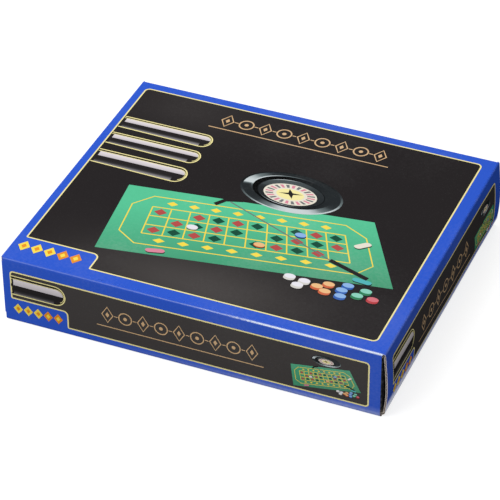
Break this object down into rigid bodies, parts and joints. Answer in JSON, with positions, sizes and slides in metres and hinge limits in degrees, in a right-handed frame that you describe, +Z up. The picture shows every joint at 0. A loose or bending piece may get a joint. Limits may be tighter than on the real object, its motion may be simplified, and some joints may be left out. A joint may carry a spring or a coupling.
{
  "type": "roulette set carton",
  "caption": "Closed tuck-end board carton with hinged ends, holding a roulette wheel with a turning rotor, chips, plaques, a rake and a cloth on a folded platform.",
  "frame": {"origin": "middle of the base, on the surface that the carton stands on", "axes": "+X along the front to the right, +Y from front to back, +Z up"},
  "size_m": [0.34, 0.286, 0.065],
  "materials": {
    "printed_board": "gloss varnish over print",
    "inner_board": "matt",
    "black_plastic": "glossy",
    "rotor_plastic": "satin",
    "number_plastic": "satin",
    "cone_plastic": "glossy",
    "gold_plastic": "metallised",
    "steel": "plain",
    "tray_plastic": "satin",
    "chip_blue": "satin",
    "chip_orange": "satin",
    "chip_white": "satin",
    "chip_green": "satin",
    "chip_red": "satin",
    "plaque_turquoise": "satin",
    "plaque_cream": "satin",
    "plaque_pink": "satin",
    "felt": "felt"
  },
  "bodies": {
    "carton": {"bottom_panel": "printed_board", "front_panel": "printed_board", "top_panel": "printed_board", "back_panel": "printed_board", "glue_tab": "inner_board", "platform_deck": "inner_board", "platform_front_leg": "inner_board", "platform_back_leg": "inner_board", "wheel_bowl": "black_plastic", "spindle_pin": "steel", "chip_tray": "tray_plastic", "chips_blue": "chip_blue", "chips_orange": "chip_orange", "chips_white": "chip_white", "chips_green": "chip_green", "chips_red": "chip_red", "plaques_turquoise": "plaque_turquoise", "plaques_cream": "plaque_cream", "plaques_pink": "plaque_pink", "ball": "chip_white", "rake_grip": "black_plastic", "rake_rod": "steel", "rake_head": "black_plastic", "layout_cloth": "felt"},
    "right_end": {"right_end_panel": "printed_board"},
    "right_tuck": {"right_tuck_flap": "printed_board"},
    "right_front_dust": {"right_front_dust_flap": "printed_board"},
    "right_back_dust": {"right_back_dust_flap": "printed_board"},
    "left_end": {"left_end_panel": "printed_board"},
    "left_tuck": {"left_tuck_flap": "printed_board"},
    "left_front_dust": {"left_front_dust_flap": "printed_board"},
    "left_back_dust": {"left_back_dust_flap": "printed_board"},
    "rotor": {"rotor_plate": "rotor_plastic", "number_ring": "number_plastic", "rotor_cone": "cone_plastic", "turret": "gold_plastic"}
  },
  "joints": [
    {"name": "right_end_hinge", "type": "hinge", "parent": "carton", "child": "right_end", "pos_m": [0.17, 0, 0.065], "axis": [0, -1, 0], "range_deg": [0, 180]},
    {"name": "right_tuck_crease", "type": "hinge", "parent": "right_end", "child": "right_tuck", "pos_m": [0.1683, 0, 0.0035], "axis": [0, 1, 0], "range_deg": [0, 28]},
    {"name": "right_front_dust_crease", "type": "hinge", "parent": "carton", "child": "right_front_dust", "pos_m": [0.1674, -0.143, 0.0325], "axis": [0, 0, -1], "range_deg": [0, 91]},
    {"name": "right_back_dust_crease", "type": "hinge", "parent": "carton", "child": "right_back_dust", "pos_m": [0.1674, 0.143, 0.0325], "axis": [0, 0, 1], "range_deg": [0, 91]},
    {"name": "left_end_hinge", "type": "hinge", "parent": "carton", "child": "left_end", "pos_m": [-0.17, 0, 0.065], "axis": [0, 1, 0], "range_deg": [0, 180]},
    {"name": "left_tuck_crease", "type": "hinge", "parent": "left_end", "child": "left_tuck", "pos_m": [-0.1683, 0, 0.0035], "axis": [0, -1, 0], "range_deg": [0, 28]},
    {"name": "left_front_dust_crease", "type": "hinge", "parent": "carton", "child": "left_front_dust", "pos_m": [-0.1674, -0.143, 0.0325], "axis": [0, 0, 1], "range_deg": [0, 91]},
    {"name": "left_back_dust_crease", "type": "hinge", "parent": "carton", "child": "left_back_dust", "pos_m": [-0.1674, 0.143, 0.0325], "axis": [0, 0, -1], "range_deg": [0, 91]},
    {"name": "rotor_spin", "type": "hinge", "parent": "carton", "child": "rotor", "pos_m": [-0.034, 0, 0.0436], "axis": [0, 0, 1], "continuous": true}
  ],
  "couplings": [
    {"joint": "right_tuck_crease", "follows": "right_end_hinge", "ratio": 0.15},
    {"joint": "right_front_dust_crease", "follows": "right_end_hinge", "ratio": 0.5},
    {"joint": "right_back_dust_crease", "follows": "right_end_hinge", "ratio": 0.5},
    {"joint": "left_tuck_crease", "follows": "left_end_hinge", "ratio": 0.15},
    {"joint": "left_front_dust_crease", "follows": "left_end_hinge", "ratio": 0.5},
    {"joint": "left_back_dust_crease", "follows": "left_end_hinge", "ratio": 0.5}
  ]
}
